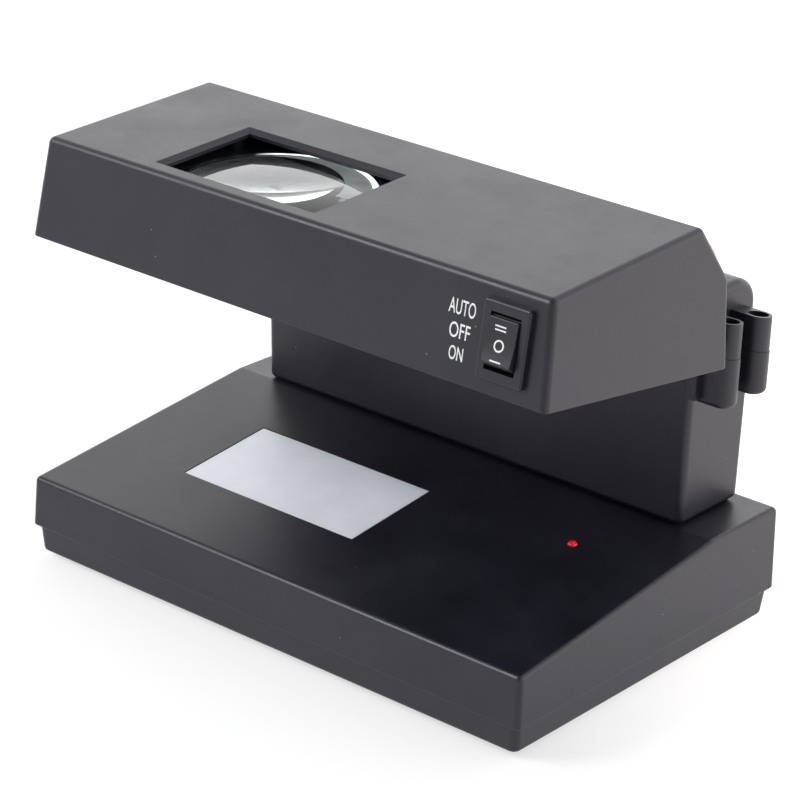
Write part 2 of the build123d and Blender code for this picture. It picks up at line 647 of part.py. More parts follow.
def upper_outside():
    """Outer form of the head, the neck and the screw ears, still solid."""
    head = head_block(0, 0)
    head = fillet(head.edges().filter_by(lambda e: not lies_on_rim(e)), EDGE_ROUND)
    head = fillet(head.edges().filter_by(lies_on_rim), RIM_ROUND)
    neck = neck_block(0, HEAD_CHAMFER_LOW[0] - 7.5)
    neck = fillet(neck.edges().filter_by(outer_neck_edge), 2.6)
    groove = neck & above_rim(-SEAM) & below_rim(SEAM)
    groove = groove - neck_block(SEAM, COL_FRONT_TOP - 1)
    outer = head + (neck & above_rim()) - groove
    for side in (-1, 1):
        for y in EAR_Y:
            lug = ear(side, y, EAR_R, 80, 110) & above_rim() & below_rim(EAR_UP)
            outer = outer + lug
    return outer


def hollow_upper(outer):
    """Take out the inside of the head and the neck, and the wire passage between them."""
    shell = outer - head_block(WALL, -3)
    shell = shell - (neck_block(WALL, HEAD_CHAMFER_LOW[0]) & above_rim(WALL))
    shell = shell - (neck_block(WALL, COL_FRONT_TOP + WALL) & above_rim(-1))
    return shell - slab(-14, 14, HEAD_CHAMFER_LOW[0] - 5, HEAD_CHAMFER_LOW[0] + 1, 94, 102)


def add_posts(shell):
    """Posts for the bottom cover and for the lens holder, with their pilot holes."""
    inside = head_block(1.0, 0)
    seat = COVER_LIFT + COVER_T + 0.05
    for x, y in HEAD_POSTS:
        post = rim_frame(x, y, seat) * Pos(0, 0, 20) * Cylinder(3.3, 40)
        shell = shell + (post & inside)
        shell = shell - rim_frame(x, y, seat) * Pos(0, 0, 3) * Cylinder(PILOT_R, 14)
    for x, y in HOLDER_POSTS:
        post = Pos(0, 0, -(HOLDER_DROP + 1.2) / 2) * Cylinder(2.8, HOLDER_DROP - 1.2)
        shell = shell + top_frame(x, y) * post
        shell = shell - top_frame(x, y) * Pos(0, 0, -HOLDER_DROP + 1) * Cylinder(PILOT_R, 9)
    return shell


def make_upper_housing():
    shell = add_posts(hollow_upper(upper_outside()))
    shell = shell - window_cut()
    shell = shell - SWITCH * Pos(0, 0, -2) * Box(SW_BODY[0] + 0.2, SW_BODY[1] + 0.2, 12)
    shell = shell - MAG_FRAME * Box(MAG_SIZE[0] + 0.3, MAG_SIZE[1] + 0.3, 9)
    shell = shell + MAG_FRAME * Pos(MAG_BOSS_X, 0, -4.2) * Cylinder(2.8, 5)
    shell = shell - MAG_FRAME * Pos(MAG_BOSS_X, 0, -5.2) * Cylinder(PILOT_R, 5)
    for side in (-1, 1):
        for y in EAR_Y:
            seat = rim_z(y) + EAR_SEAT
            shell = shell - rod(side * EAR_X, y, seat, 120, EAR_RECESS_R)
            shell = shell - rod(side * EAR_X, y, 80, 120, HOLE_R - 0.1)
    return shell


def lies_on_rim(edge):
    """True for the edges of the head's open underside."""
    point = edge.center()
    return abs(point.Z - rim_z(point.Y)) < 1.0


def outer_neck_edge(edge):
    """True for the long outer edges of the neck, which are rounded."""
    point = edge.center()
    return abs(abs(point.X) - COL_HALF_TOP) < 0.01 and point.Y > 20 and point.Z > 75


def window_cut():
    """Straight opening with a wide bevel round its upper edge."""
    opening = Box(WIN_W, WIN_D, 14)
    above = 0.5
    low = Pos(0, 0, -WIN_BEVEL_DEPTH) * Rectangle(WIN_W, WIN_D)
    grow = 2 * WIN_BEVEL * (1 + above / WIN_BEVEL_DEPTH)
    high = Pos(0, 0, above) * Rectangle(WIN_W + grow, WIN_D + grow)
    return WINDOW * (opening + loft([low, high], ruled=True))


def make_ear_screws():
    places = [(side * EAR_X, y) for side in (-1, 1) for y in EAR_Y]
    return [Pos(x, y, rim_z(y) + EAR_SEAT) * screw(12.0) for x, y in places]


def make_magnifier_lens():
    rim_top = -LENS_DEPTH
    rim_low = rim_top - LENS_EDGE
    sag = LENS_CURVE - math.sqrt(LENS_CURVE ** 2 - LENS_R ** 2)
    disc = Pos(0, 0, (rim_top + rim_low) / 2) * Cylinder(LENS_R, LENS_EDGE + 2 * sag)
    upper = Pos(0, 0, rim_top + sag - LENS_CURVE) * Sphere(LENS_CURVE)
    lower = Pos(0, 0, rim_low - sag + LENS_CURVE) * Sphere(LENS_CURVE)
    lens = disc & upper & lower
    lens = lens - Pos(0, -LENS_CHORD - 50, 0) * Box(100, 100, 60)
    return LENS * lens


def make_lens_holder():
    """Frame under the lens: a ring that carries its rim, on a plate with four screw holes."""
    z1 = -HOLDER_DROP
    plate = Pos(0, 5.0, z1 - 1.3) * Box(76, 46, 2.5)
    plate = fillet(plate.edges().filter_by(Axis.Z), 3)
    ring = Pos(0, 0, z1 - 0.6) * Cylinder(LENS_R + 2.3, 3.8)
    holder = plate + ring
    seat = -LENS_DEPTH - LENS_EDGE - 0.45
    holder = holder - Pos(0, 0, seat + 5) * Cylinder(LENS_R + 0.3, 10)
    holder = holder - Pos(0, 0, -8) * Cylinder(LENS_R - 2.0, 30)
    holder = holder - Pos(0, -LENS_CHORD - 0.4 - 50, 0) * Box(200, 100, 60)
    holder = LENS * holder
    for x, y in HOLDER_POSTS:
        holder = holder - top_frame(x, y) * Cylinder(HOLE_R, 40)
    return holder


def make_holder_screws():
    under = HOLDER_DROP + 2.57
    return [top_frame(x, y) * Pos(0, 0, -under) * Rot(180, 0, 0) * screw(6.0) for x, y in HOLDER_POSTS]


def make_head_bottom_cover():
    rear = HEAD_CHAMFER_LOW[0] - WALL - GAP
    front = HEAD_FRONT + WALL + GAP + 0.85
    half = HEAD_HALF_BOT - WALL - GAP - 0.5
    cover = slab(-half, half, front, rear, 60, 140)
    cover = cover & above_rim(COVER_LIFT) & below_rim(COVER_LIFT + COVER_T)
    rim = slab(VIEW[0] - 1.6, VIEW[1] + 1.6, VIEW[2] - 1.6, VIEW[3] + 1.6, 60, 140)
    cover = cover + (rim & above_rim(COVER_LIFT) & below_rim(COVER_LIFT + 6))
    cover = cover - slab(VIEW[0], VIEW[1], VIEW[2], VIEW[3], 60, 140)
    cover = cover - slab(SLOT[0], SLOT[1], SLOT[2], SLOT[3], 60, 140)
    for x, y in HEAD_POSTS:
        cover = cover - rim_frame(x, y, 0) * Cylinder(HOLE_R, 20)
    return cover


def make_head_screws():
    return [rim_frame(x, y, COVER_LIFT - 0.02) * Rot(180, 0, 0) * screw(9.0) for x, y in HEAD_POSTS]


def make_uv_tube():
    return rod_x(-TUBE_L / 2 + 4, TUBE_L / 2 - 4, TUBE_Y, TUBE_Z, TUBE_R)


def make_tube_caps():
    caps = []
    for side in (-1, 1):
        inner, outer = side * (TUBE_L / 2 - 4), side * TUBE_L / 2
        cap = rod_x(min(inner, outer), max(inner, outer), TUBE_Y, TUBE_Z, TUBE_R - 0.1)
        ends = cap.edges().filter_by(GeomType.CIRCLE).sort_by(lambda e: -side * e.center().X)
        caps.append(fillet(ends[0], 0.8))
    return caps


def make_tube_pins():
    pins = []
    for side in (-1, 1):
        for dz in (-TUBE_PIN_Z, TUBE_PIN_Z):
            x0, x1 = side * TUBE_L / 2, side * (TUBE_L / 2 + 6.8)
            pins.append(rod_x(min(x0, x1), max(x0, x1), TUBE_Y, TUBE_Z + dz, 1.15))
    return pins


def make_lamp_holders():
    holders = []
    for side in (-1, 1):
        x0, x1 = side * LAMP_HOLDER_X, side * (LAMP_HOLDER_X + 9.4)
        y0, y1 = TUBE_Y - 7.5, TUBE_Y + 7.5
        low = rim_z(y0) + COVER_LIFT + COVER_T
        block = slab(min(x0, x1), max(x0, x1), y0, y1, low, TUBE_Z + 9.5)
        block = fillet(block.edges().filter_by(Axis.X).group_by(Axis.Z)[-1], 4)
        for dz in (-TUBE_PIN_Z, TUBE_PIN_Z):
            block = block - rod_x(-90, 90, TUBE_Y, TUBE_Z + dz, 1.25)
        holders.append(block)
    return holders


def make_lamp_reflector():
    """Bent bright sheet over the tube, with a flat lip on each side."""
    radius = REFLECTOR_R
    sheet = 0.6
    half = 65.5
    solid = rod_x(-half, half, TUBE_Y, TUBE_Z, radius + sheet)
    solid = solid - rod_x(-half - 1, half + 1, TUBE_Y, TUBE_Z, radius)
    solid = solid & slab(-half, half, TUBE_Y - 20, TUBE_Y + 20, TUBE_Z, TUBE_Z + 20)
    for side in (-1, 1):
        y0, y1 = TUBE_Y + side * radius, TUBE_Y + side * (radius + sheet)
        foot = rim_z(TUBE_Y - radius) + COVER_LIFT + COVER_T + 0.1
        skirt = slab(-half, half, min(y0, y1), max(y0, y1), foot, TUBE_Z + 0.01)
        solid = solid + skirt
    return solid


# ---------------------------------------------------------------- rocker switch
def make_switch_body():
    bezel = Pos(0, 0, BEZEL[2] / 2) * Box(*BEZEL)
    bezel = fillet(bezel.edges().filter_by(Axis.Z), 0.8)
    bezel = fillet(bezel.edges().group_by(Axis.Z)[-1], 0.6)
    body = Pos(0, 0, -SW_DEPTH / 2) * Box(SW_BODY[0], SW_BODY[1], SW_DEPTH)
    part = bezel + body
    for side in (-1, 1):
        wedge = prism_x([(0, -2.6), (side * 0.9, -2.6), (0, -7.5)], -2.5, 2.5)
        part = part + Pos(0, side * (SW_BODY[1] / 2 - 0.01), 0) * wedge
    part = part - Box(SW_OPEN[0], SW_OPEN[1], 8)
    part = part - Pos(0, 0, (-1.0 - SW_DEPTH + 1.4) / 2) * Box(CAVITY[0], CAVITY[1], SW_DEPTH - 2.4)
    part = part - rod_x(-TRUNNION_HALF - 0.3, TRUNNION_HALF + 0.3, 0, PIVOT_V, 1.05)
    for u in TERMINALS:
        part = part - Pos(0, u, -SW_DEPTH) * Box(5.0, 1.0, 4)
    return SWITCH * part


def make_rocker():
    """Key of the switch: round about its axis, with a shallow hollow in its face."""
    half = ROCKER_W / 2
    drum = rod_x(-half, half, 0, PIVOT_V, ROCKER_R)
    drum = drum & slab(-half, half, -9, 9, PIVOT_V - 3.2, 1.9)
    foot, face = ROCKER_HALF + 0.1, ROCKER_HALF
    outline = [(-foot, 0.5), (foot, 0.5), (face, ROCKER_FACE_V), (-face, ROCKER_FACE_V)]
    key = prism_x(outline, -half, half) + drum
    key = key - rod_x(-10, 10, 0, ROCKER_FACE_V + ROCKER_HOLLOW_R - ROCKER_HOLLOW, ROCKER_HOLLOW_R)
    front = key.edges().filter_by(lambda e: e.center().Z > 2.3 and abs(e.center().Y) > face - 0.4)
    key = fillet(front, 0.35)
    stem = Pos(0, 0, PIVOT_V - 4.6) * Box(4.4, 4.4, 5.2)
    key = key + stem
    key = key - Pos(0, 0, PIVOT_V - 5.2) * Cylinder(1.3, 5.0)
    key = key + rod_x(-TRUNNION_HALF, TRUNNION_HALF, 0, PIVOT_V, 1.0)
    return KEY * key


def make_rocker_plunger():
    pin = Pos(0, 0, PIVOT_V - PLUNGER_TIP + 1.4) * Cylinder(1.2, 2.8)
    tip = Pos(0, 0, PIVOT_V - PLUNGER_TIP) * Sphere(1.2)
    return KEY * (pin + tip)


def make_rocker_spring():
    low = PIVOT_V - 5.6
    coil = Helix(pitch=0.62, height=2.4, radius=0.85)
    wire = Plane(origin=coil @ 0, z_dir=coil % 0) * Circle(0.16)
    spring = sweep(wire, path=coil, is_frenet=True)
    return KEY * Pos(0, 0, low) * spring


def make_contact_rocker():
    """Bronze see-saw that the plunger tips; its ridge rests on the middle terminal."""
    plate = Pos(0, 0, CONTACT_V) * Box(3.6, 12.4, 0.4)
    for side in (-1, 1):
        plate = plate + Pos(0, side * 5.5, CONTACT_V - 0.25) * Cylinder(0.9, 0.5)
    plate = plate + rod_x(-1.8, 1.8, 0, CONTACT_AXIS_V, RIDGE_R)
    return CONTACT * plate


def make_switch_terminals():
    terminals = []
    for u in TERMINALS:
        blade = Pos(0, u, -SW_DEPTH - 3.6) * Box(4.8, 0.8, 7.2)
        blade = chamfer(blade.edges().filter_by(Axis.Y).group_by(Axis.Z)[0], 1.0)
        blade = blade - Pos(0, u, -SW_DEPTH - 4.6) * Rot(90, 0, 0) * Cylinder(0.8, 3)
        stalk_top = CONTACT_V - 0.22 - RIDGE_R if u == 0 else CONTACT_V - 1.15
        stalk = slab(-1.5, 1.5, u - 0.4, u + 0.4, -SW_DEPTH - 1, stalk_top)
        terminals.append(SWITCH * (blade + stalk))
    return terminals


# ---------------------------------------------------------------- magnetic head
def make_magnetic_head():
    """Small can with a barrel-shaped face, standing out of the head's rear bevel."""
    can = Pos(0, 0, MAG_PROUD / 2 - 4) * Box(MAG_SIZE[0], MAG_SIZE[1], MAG_PROUD + 8)
    barrel = rod_x(-20, 20, 0, MAG_PROUD - MAG_BARREL_R, MAG_BARREL_R)
    below = Pos(0, 0, MAG_PROUD - MAG_BARREL_R - 6) * Box(40, 40, 12)
    return MAG_FRAME * (can & (barrel + below))


def make_magnetic_bracket():
    plate = Pos(-4.9, 0, -8.8) * Box(20, 7.0, 1.2)
    leg = Pos(MAG_BOSS_X, 0, -7.5) * Cylinder(3.0, 1.5)
    part = plate + leg - Pos(MAG_BOSS_X, 0, -8) * Cylinder(HOLE_R, 6)
    return MAG_FRAME * part


def make_magnetic_screw():
    return MAG_FRAME * Pos(MAG_BOSS_X, 0, -9.4) * Rot(180, 0, 0) * screw(6.0)


# ---------------------------------------------------------------- write every node
save(make_base_top_shell(), "base_top_shell")
save(make_base_bottom_tray(), "base_bottom_tray")
save(make_rubber_feet(), "rubber_feet")
save(make_base_screws(), "base_screws")
save(make_control_board(), "control_board")
core, bobbin = make_power_transformer()
save(core, "transformer_core")
save(bobbin, "transformer_bobbin")
save(make_board_parts(), "control_board_parts")
save(make_buzzer(), "buzzer")
save(make_board_screws(), "board_screws")
save(make_watermark_diffuser(), "watermark_diffuser")
save(make_light_box(), "light_box")
save(make_led_board(), "watermark_led_board")
save(make_watermark_leds(), "watermark_leds")
save(make_indicator_led(), "indicator_led")
save(make_led_holder(), "indicator_led_holder")
save(make_power_inlet(), "power_inlet")
save(make_inlet_pins(), "inlet_pins")
save(make_column(), "column")
save(make_column_screws(), "column_screws")
save(make_ballast_board(), "ballast_board")
save(make_ballast_transformer(), "ballast_transformer")
save(make_ballast_parts(), "ballast_parts")
save(make_upper_housing(), "upper_housing")
save(make_magnifier_lens(), "magnifier_lens")
save(make_lens_holder(), "lens_holder")
save(make_holder_screws(), "lens_holder_screws")
save(make_head_bottom_cover(), "head_bottom_cover")
save(make_head_screws(), "head_cover_screws")
save(make_ear_screws(), "ear_screws")
save(make_uv_tube(), "uv_tube")
save(make_tube_caps(), "uv_tube_caps")
save(make_tube_pins(), "uv_tube_pins")
save(make_lamp_holders(), "lamp_holders")
save(make_lamp_reflector(), "lamp_reflector")
save(make_switch_body(), "rocker_switch_body")
save(make_rocker(), "rocker")
save(make_rocker_plunger(), "rocker_plunger")
save(make_rocker_spring(), "rocker_spring")
save(make_contact_rocker(), "contact_rocker")
save(make_switch_terminals(), "switch_terminals")
save(make_magnetic_head(), "magnetic_head")
save(make_magnetic_bracket(), "magnetic_head_bracket")
save(make_magnetic_screw(), "magnetic_head_screw")
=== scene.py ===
import json
import math

import bmesh
import bpy
from mathutils import Matrix, Vector


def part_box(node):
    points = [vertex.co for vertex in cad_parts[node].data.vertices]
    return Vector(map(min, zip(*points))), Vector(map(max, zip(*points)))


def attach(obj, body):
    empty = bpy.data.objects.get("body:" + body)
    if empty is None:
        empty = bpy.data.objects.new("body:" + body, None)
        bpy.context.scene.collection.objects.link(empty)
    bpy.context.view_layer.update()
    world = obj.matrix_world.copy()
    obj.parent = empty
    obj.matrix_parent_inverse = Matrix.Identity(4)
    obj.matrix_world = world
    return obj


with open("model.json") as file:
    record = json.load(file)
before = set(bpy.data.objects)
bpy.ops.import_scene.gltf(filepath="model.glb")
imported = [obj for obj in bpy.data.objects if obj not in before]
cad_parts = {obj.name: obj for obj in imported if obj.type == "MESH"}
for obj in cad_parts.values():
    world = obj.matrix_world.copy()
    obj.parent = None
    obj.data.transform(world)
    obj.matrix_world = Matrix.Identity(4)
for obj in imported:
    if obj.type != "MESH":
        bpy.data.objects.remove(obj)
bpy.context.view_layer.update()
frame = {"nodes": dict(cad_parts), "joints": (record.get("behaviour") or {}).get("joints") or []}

scene = bpy.context.scene
MM = 0.001

# ------------------------------------------------------------ the view
AZIMUTH = math.radians(38.80)       # the camera stands this far to the right of the front
ELEVATION = math.radians(22.66)
ROLL = math.radians(2.65)
DISTANCE = 0.8887
LENS_MM = 138.5
SENSOR_MM = 36.0
NEAREST_SEEN = 0.05
AIM = Vector((-0.0018, -0.0009, 0.0596))

# ------------------------------------------------------------ places taken from the frame
joints = {joint["name"]: joint for joint in frame["joints"]}
key_pivot = Vector(joints["rocker_tilt"]["pos_m"])
contact_pivot = Vector(joints["contact_tilt"]["pos_m"])
FACE_OUT = (key_pivot - contact_pivot).normalized()
FACE_RIGHT = Vector((1, 0, 0))
FACE_UP = FACE_OUT.cross(FACE_RIGHT)
PIVOT_DEPTH = 2.0 * MM              # the key's axis lies this far behind the head's face
FACE_ORIGIN = key_pivot + FACE_OUT * PIVOT_DEPTH


def face_matrix():
    """Frame on the head's front face at the switch: x right, y up the face, z out of it."""
    columns = Matrix((FACE_RIGHT, FACE_UP, FACE_OUT)).transposed()
    return Matrix.Translation(FACE_ORIGIN) @ columns.to_4x4()


# ------------------------------------------------------------ node helpers
class Graph:
    """Short way to add nodes to one material."""

    def __init__(self, name):
        self.material = bpy.data.materials.new(name)
        self.material.use_nodes = True
        self.tree = self.material.node_tree
        self.shader = self.tree.nodes["Principled BSDF"]
        self.place = self.tree.nodes.new("ShaderNodeTexCoord").outputs["Object"]

    def add(self, kind, **settings):
        node = self.tree.nodes.new(kind)
        for key, value in settings.items():
            setattr(node, key, value)
        return node

    def link(self, source, target):
        self.tree.links.new(source, target)

    def noise(self, size_mm, detail=3.0, rough=0.55, seed=0.0, stretch=(1, 1, 1)):
        """Noise whose features are about this many millimetres across."""
        mapping = self.add("ShaderNodeMapping")
        mapping.inputs["Location"].default_value = (seed, seed * 0.7, seed * 1.3)
        mapping.inputs["Scale"].default_value = stretch
        self.link(self.place, mapping.inputs["Vector"])
        node = self.add("ShaderNodeTexNoise")
        node.inputs["Scale"].default_value = 1.0 / (size_mm * MM)
        node.inputs["Detail"].default_value = detail
        node.inputs["Roughness"].default_value = rough
        self.link(mapping.outputs["Vector"], node.inputs["Vector"])
        return node.outputs["Fac"]

    def cells(self, size_mm):
        """Distance to the nearest of points scattered about this many millimetres apart."""
        node = self.add("ShaderNodeTexVoronoi")
        node.inputs["Scale"].default_value = 1.0 / (size_mm * MM)
        self.link(self.place, node.inputs["Vector"])
        return node.outputs["Distance"]

    def remap(self, value, low, high, to_low, to_high):
        node = self.add("ShaderNodeMapRange")
        node.inputs["From Min"].default_value = low
        node.inputs["From Max"].default_value = high
        node.inputs["To Min"].default_value = to_low
        node.inputs["To Max"].default_value = to_high
        self.link(value, node.inputs["Value"])
        return node.outputs["Result"]

    def math(self, operation, a, b):
        node = self.add("ShaderNodeMath", operation=operation)
        for socket, value in zip(node.inputs, (a, b)):
            if isinstance(value, (int, float)):
                socket.default_value = value
            else:
                self.link(value, socket)
        return node.outputs["Value"]

    def mix(self, factor, a, b):
        node = self.add("ShaderNodeMix", data_type="RGBA")
        self.link(factor, node.inputs["Factor"])
        for name, value in (("A", a), ("B", b)):
            socket = [s for s in node.inputs if s.name == name and s.type == "RGBA"][0]
            if isinstance(value, tuple):
                socket.default_value = (*value, 1.0)
            else:
                self.link(value, socket)
        return [s for s in node.outputs if s.type == "RGBA"][0]

    def bump(self, height, depth_mm, under=None):
        node = self.add("ShaderNodeBump")
        node.inputs["Strength"].default_value = 1.0
        node.inputs["Distance"].default_value = depth_mm * MM
        self.link(height, node.inputs["Height"])
        if under is not None:
            self.link(under, node.inputs["Normal"])
        return node.outputs["Normal"]

    def set(self, **values):
        """Set or link sockets of the shader, with _ for the spaces in their names."""
        for name, value in values.items():
            socket = self.shader.inputs[name.replace("_", " ")]
            if isinstance(value, tuple) and len(value) == 3:
                value = (*value, 1.0)
            if isinstance(value, (int, float, tuple)):
                socket.default_value = value
            else:
                self.link(value, socket)


# ------------------------------------------------------------ materials
SHEEN_TINT = (0.975, 0.955, 1.0, 1.0)   # the dark plastics shine slightly lilac
PLASTIC_IOR = 1.5
GLASS_IOR = 1.52
CLOUD_MM = 26                       # size of the handling marks
BLOTCH_MM = 5
WAVE_MM = 34                        # slow waves left by the mould
WAVE_DEPTH = 0.05
DUST_CELL_MM = 5.5                  # at most about one fleck in a cell of this size
DUST_REACH = 0.045                  # radius of a fleck, as a part of its cell
DUST_PATCH_MM = 60                  # flecks lie only in some broad patches
DUST_PATCH_FROM = (0.54, 0.60)
DUST_COLOUR = (0.4, 0.4, 0.38)
METAL_STREAK_MM = 0.5


def moulded_plastic(name, colour, roughness, grain_mm=0.55, grain_depth=0.035, dust=0.0, seed=0.0):
    """Moulded plastic: spark-eroded grain, a slightly uneven sheen, cloudy handling marks and dust."""
    g = Graph(name)
    cloud = g.noise(CLOUD_MM, detail=4, rough=0.6, seed=seed)
    blotch = g.noise(BLOTCH_MM, detail=3, seed=seed + 2)
    lighter = tuple(c * 1.5 + 0.002 for c in colour)
    base = g.mix(g.remap(cloud, 0.35, 0.7, 0.0, 1.0), colour, lighter)
    if dust > 0:
        spot = g.remap(g.cells(DUST_CELL_MM), 0.0, DUST_REACH, 1.0, 0.0)
        chosen = g.remap(g.noise(DUST_PATCH_MM, detail=1, seed=seed + 5), *DUST_PATCH_FROM, 0.0, dust)
        base = g.mix(g.math("MULTIPLY", spot, chosen), base, DUST_COLOUR)
    uneven = g.math(
        "ADD", g.remap(cloud, 0.3, 0.75, -0.035, 0.045), g.remap(blotch, 0.3, 0.7, -0.015, 0.015))
    g.set(Base_Color=base, Roughness=g.math("ADD", uneven, roughness))
    grain = g.noise(grain_mm, detail=2, rough=0.6, seed=seed + 9)
    wave = g.bump(g.noise(WAVE_MM, detail=1, seed=seed + 4), WAVE_DEPTH)
    g.set(Normal=g.bump(grain, grain_depth, under=wave))
    g.shader.inputs["IOR"].default_value = PLASTIC_IOR
    g.shader.inputs["Specular Tint"].default_value = SHEEN_TINT
    return g.material


def metal(name, colour, roughness, brush=(1, 1, 1)):
    """Drawn or plated metal with fine streaks and a little tarnish."""
    g = Graph(name)
    streak = g.noise(METAL_STREAK_MM, detail=3, stretch=brush)
    tarnish = g.noise(4, detail=3, seed=3)
    darker = tuple(c * 0.78 for c in colour)
    g.set(Base_Color=g.mix(g.remap(tarnish, 0.4, 0.75, 0.0, 1.0), colour, darker))
    g.set(Roughness=g.remap(streak, 0.3, 0.7, roughness - 0.07, roughness + 0.1))
    g.set(Normal=g.bump(streak, 0.006))
    g.shader.inputs["Metallic"].default_value = 1.0
    return g.material


def rubber():
    """Matt black rubber with dull scuffs."""
    g = Graph("soft_rubber")
    fine = g.noise(0.25, detail=3)
    scuff = g.noise(3, detail=4, seed=6)
    g.set(Base_Color=g.mix(g.remap(scuff, 0.5, 0.75, 0.0, 1.0), (0.016, 0.016, 0.016), (0.05, 0.048, 0.045)))
    g.set(Roughness=g.remap(fine, 0.3, 0.7, 0.7, 0.9), Normal=g.bump(fine, 0.02))
    return g.material


def milky_acrylic():
    """Translucent white sheet of the banknote light, brightened in the head's shade by a faint painted glow.
    """
    g = Graph("milky_acrylic")
    cloud = g.noise(14, detail=2, seed=1)
    fine = g.noise(0.4, detail=2, seed=8)
    g.set(Base_Color=g.mix(g.remap(cloud, 0.35, 0.7, 0.0, 1.0), (0.74, 0.76, 0.85), (0.80, 0.82, 0.90)))
    g.set(Roughness=g.remap(cloud, 0.3, 0.7, 0.30, 0.38), Normal=g.bump(fine, 0.004))
    g.shader.inputs["Subsurface Weight"].default_value = 0.5
    g.shader.inputs["Subsurface Radius"].default_value = (0.004, 0.004, 0.0045)
    g.shader.inputs["Subsurface Scale"].default_value = 1.0
    # painted glow that lifts the sheet out of the head's shade
    g.shader.inputs["Emission Color"].default_value = (0.86, 0.90, 1.0, 1.0)
    g.shader.inputs["Emission Strength"].default_value = 0.05
    return g.material


def lit_red_resin():
    """Clear red dome over a small lit chip: bright flecks in a deep red."""
    g = Graph("lit_red_resin")
    core = g.noise(0.9, detail=1, seed=2)
    g.set(Base_Color=g.mix(g.remap(core, 0.35, 0.65, 0.0, 1.0), (0.30, 0.002, 0.006), (0.55, 0.010, 0.015)))
    g.set(Roughness=g.remap(core, 0.3, 0.7, 0.05, 0.12))
    g.set(Emission_Strength=g.remap(core, 0.42, 0.62, 0.10, 0.75))
    g.shader.inputs["Emission Color"].default_value = (1.0, 0.01, 0.03, 1.0)
    g.shader.inputs["Transmission Weight"].default_value = 0.2
    return g.material


def glass(name, tint, smear=0.02, transmission=1.0):
    """Polished glass with a faint greasy film."""
    g = Graph(name)
    film = g.noise(9, detail=4, seed=5)
    g.set(Roughness=g.remap(film, 0.45, 0.8, 0.0, smear))
    g.set(Base_Color=g.mix(g.remap(film, 0.4, 0.8, 0.0, 1.0), tint, tuple(c * 0.97 for c in tint)))
    g.shader.inputs["IOR"].default_value = GLASS_IOR
    g.shader.inputs["Transmission Weight"].default_value = transmission
    return g.material


def painted_glow_towards_rear_right(g, low, high):
    """Rises from 0 to 1 with the distance from the lens's middle towards the rear right: the mask of the
    bevel's painted glow.
    """
    split = g.add("ShaderNodeSeparateXYZ")
    g.link(g.place, split.inputs["Vector"])
    from_middle_x = g.math("SUBTRACT", split.outputs["X"], LENS_MIDDLE.x)
    from_middle_y = g.math("SUBTRACT", split.outputs["Y"], LENS_MIDDLE.y)
    across = g.math("MULTIPLY", from_middle_x, math.cos(AZIMUTH))
    along = g.math("MULTIPLY", from_middle_y, math.sin(AZIMUTH))
    return g.remap(g.math("ADD", across, along), low, high, 0.0, 1.0)


def bevel_glass_painted_glow():
    """Polished bevel of the lens: nearly black painted shade away from its rear right, and a light grey
    painted highlight with a painted glow at its rear right.
    """
    g = Graph("bevel_glass_painted_glow")
    wear = g.noise(1.2, detail=3)
    # painted light: dark painted shade away from the rear right, light grey with a painted glow at the rear
    # right
    lit = painted_glow_towards_rear_right(g, *BEVEL_PAINTED_GLOW_FROM)
    painted_light_grey = g.mix(g.remap(wear, 0.3, 0.7, 0.0, 1.0), (0.72, 0.75, 0.75), (0.80, 0.82, 0.82))
    g.set(Base_Color=g.mix(lit, (0.004, 0.004, 0.005), painted_light_grey))
    g.set(Roughness=g.remap(wear, 0.3, 0.7, 0.12, 0.22))
    g.set(Emission_Strength=g.math("MULTIPLY", lit, BEVEL_PAINTED_GLOW))
    g.shader.inputs["Emission Color"].default_value = (0.96, 1.0, 0.99, 1.0)
    return g.material


def glint_glass_painted_glow():
    """Matt grey glass with a painted glow, which stands for a glint of light in the lens."""
    g = Graph("glint_glass_painted_glow")
    matt = g.noise(0.3, detail=3, seed=43)
    shade = g.noise(9, detail=2, seed=44)
    g.set(Base_Color=g.mix(g.remap(shade, 0.35, 0.7, 0.0, 1.0), (0.17, 0.175, 0.18), (0.26, 0.265, 0.27)))
    g.set(Roughness=g.remap(matt, 0.3, 0.7, 0.30, 0.45), Normal=g.bump(matt, 0.004))
    # painted glow, though the crescent is no lamp
    g.set(Emission_Strength=g.remap(shade, 0.3, 0.75, GLINT_PAINTED_GLOW * 0.8, GLINT_PAINTED_GLOW * 1.2))
    g.shader.inputs["Emission Color"].default_value = (0.97, 0.99, 1.0, 1.0)
    return g.material


def circuit_board():
    """Green solder resist with copper tracks showing through as slightly raised lines."""
    g = Graph("circuit_board")
    tracks = g.add("ShaderNodeTexBrick")
    tracks.inputs["Scale"].default_value = 90.0
    tracks.inputs["Mortar Size"].default_value = 0.06
    g.link(g.place, tracks.inputs["Vector"])
    lines = tracks.outputs["Fac"]
    g.set(Base_Color=g.mix(lines, (0.012, 0.11, 0.045), (0.03, 0.2, 0.08)))
    g.set(Roughness=g.remap(g.noise(1.5), 0.3, 0.7, 0.28, 0.4), Normal=g.bump(lines, 0.035))
    return g.material


def winding():
    """Enamelled copper wire laid in close turns."""
    g = Graph("copper_winding")
    wave = g.add("ShaderNodeTexWave", bands_direction="Z")
    wave.inputs["Scale"].default_value = 900.0
    wave.inputs["Distortion"].default_value = 0.6
    g.link(g.place, wave.inputs["Vector"])
    g.set(Base_Color=g.mix(wave.outputs["Fac"], (0.25, 0.08, 0.03), (0.75, 0.33, 0.13)))
    g.set(Roughness=g.remap(g.noise(1.0), 0.3, 0.7, 0.22, 0.36), Normal=g.bump(wave.outputs["Fac"], 0.12))
    g.shader.inputs["Metallic"].default_value = 0.9
    return g.material


